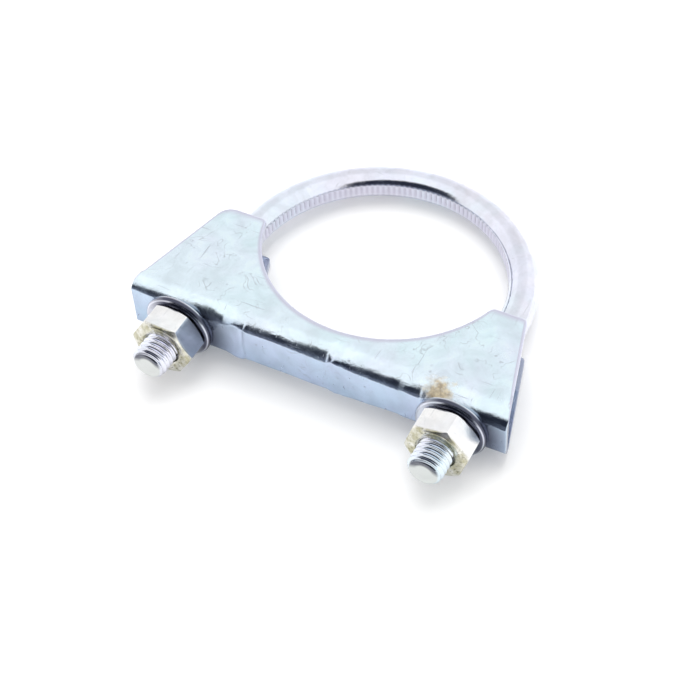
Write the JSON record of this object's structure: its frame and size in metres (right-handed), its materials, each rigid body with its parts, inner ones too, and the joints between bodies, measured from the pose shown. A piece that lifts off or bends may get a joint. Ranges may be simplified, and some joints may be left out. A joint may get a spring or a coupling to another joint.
{
  "type": "exhaust clamp",
  "caption": "U-bolt exhaust clamp: a round bend and a folded sheet saddle drawn together by a nut and washer on each threaded leg to grip a pipe.",
  "frame": {"origin": "centre of the U-bolt's half-round bend, on the axis of the pipe that the clamp holds, at the middle of the rod's height plus 0.8 mm, which is the middle of the saddle's height", "axes": "+Z along the pipe's axis and up as the clamp lies, +X along the saddle to the right-hand leg, +Y from the nuts to the bend"},
  "size_m": [0.0884, 0.0793, 0.016],
  "materials": {
    "plated_rod": "bright blue-white zinc plating on a drawn rod",
    "plated_sheet": "pale blue zinc plating on pressed sheet, with faint lilac and green tints and fine scratches",
    "plated_washer": "blue-white zinc plating",
    "plated_nut": "bright zinc plating, a little yellow on the chamfers"
  },
  "bodies": {
    "u_bolt": {"u_bolt": "plated_rod"},
    "saddle": {"saddle": "plated_sheet", "washer_left": "plated_washer", "washer_right": "plated_washer"},
    "nut_left": {"nut_left": "plated_nut"},
    "nut_right": {"nut_right": "plated_nut"}
  },
  "joints": [
    {"name": "saddle_slide", "type": "slide", "parent": "u_bolt", "child": "saddle", "axis": [0, 1, 0], "range_m": [-0.0054, 0.029]},
    {"name": "nut_left_spin", "type": "hinge", "parent": "saddle", "child": "nut_left", "pos_m": [-0.0325, -0.0314, -0.0008], "axis": [0, 1, 0], "range_deg": [-1555.3, 8352.1]},
    {"name": "nut_right_spin", "type": "hinge", "parent": "saddle", "child": "nut_right", "pos_m": [0.0325, -0.0314, -0.0008], "axis": [0, 1, 0], "range_deg": [-1555.3, 8352.1]}
  ],
  "couplings": [
    {"joint": "nut_left_spin", "follows": "saddle_slide", "rad_per_m": 5026.5},
    {"joint": "nut_right_spin", "follows": "saddle_slide", "rad_per_m": 5026.5}
  ]
}
